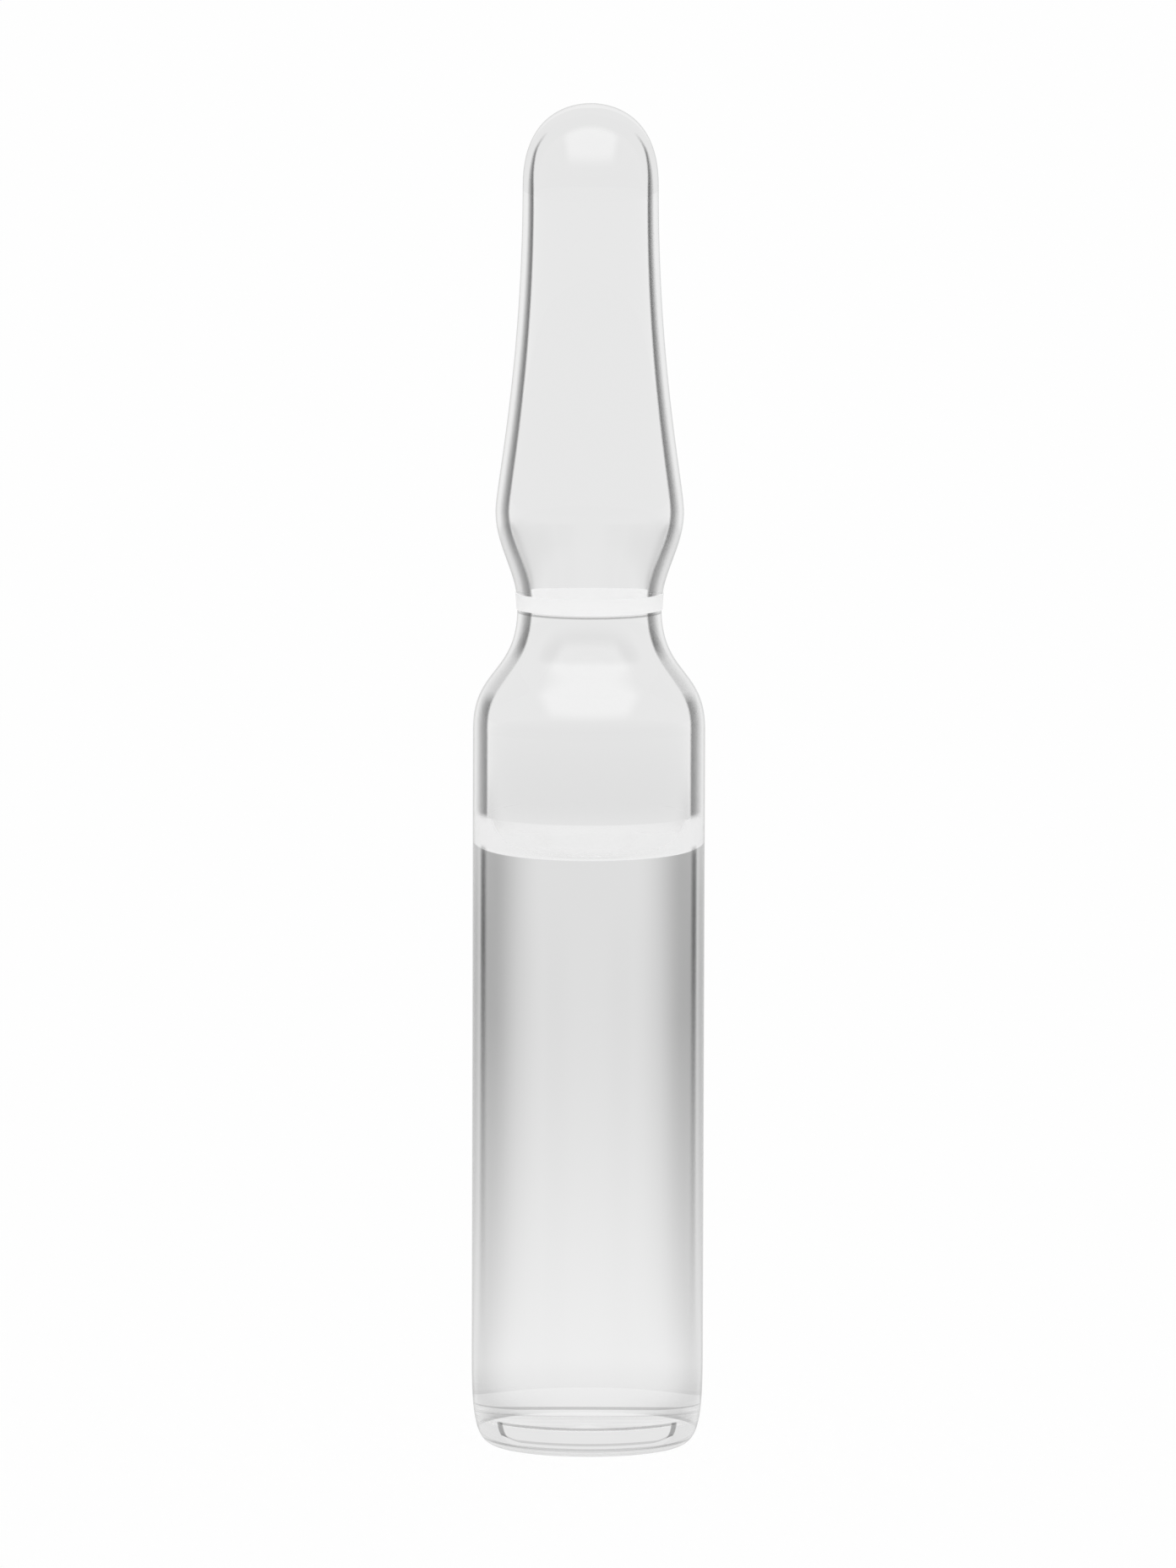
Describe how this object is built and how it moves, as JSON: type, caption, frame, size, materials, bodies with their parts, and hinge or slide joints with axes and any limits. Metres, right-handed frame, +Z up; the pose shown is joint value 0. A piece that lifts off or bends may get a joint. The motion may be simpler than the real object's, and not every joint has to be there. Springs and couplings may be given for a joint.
{
  "type": "glass ampoule",
  "caption": "Sealed clear glass ampoule standing on its foot: straight body with liquid, narrow neck with a white break ring, bulb and tapered stem with a fused round tip.",
  "frame": {"origin": "on the axis at the foot, in the plane of the flat ring that the ampoule stands on", "axes": "+Z up along the axis from the foot to the sealed tip; X and Y are free, since the ampoule is turned about Z"},
  "size_m": [0.0108, 0.0108, 0.0624],
  "materials": {
    "ampoule_glass": "clear, smooth as drawn and fused",
    "break_ring": "white ink fired on, slightly see-through",
    "liquid_fill": "clear water-like liquid"
  },
  "bodies": {
    "root": {"ampoule_glass": "ampoule_glass", "break_ring": "break_ring", "liquid_fill": "liquid_fill"}
  },
  "joints": []
}
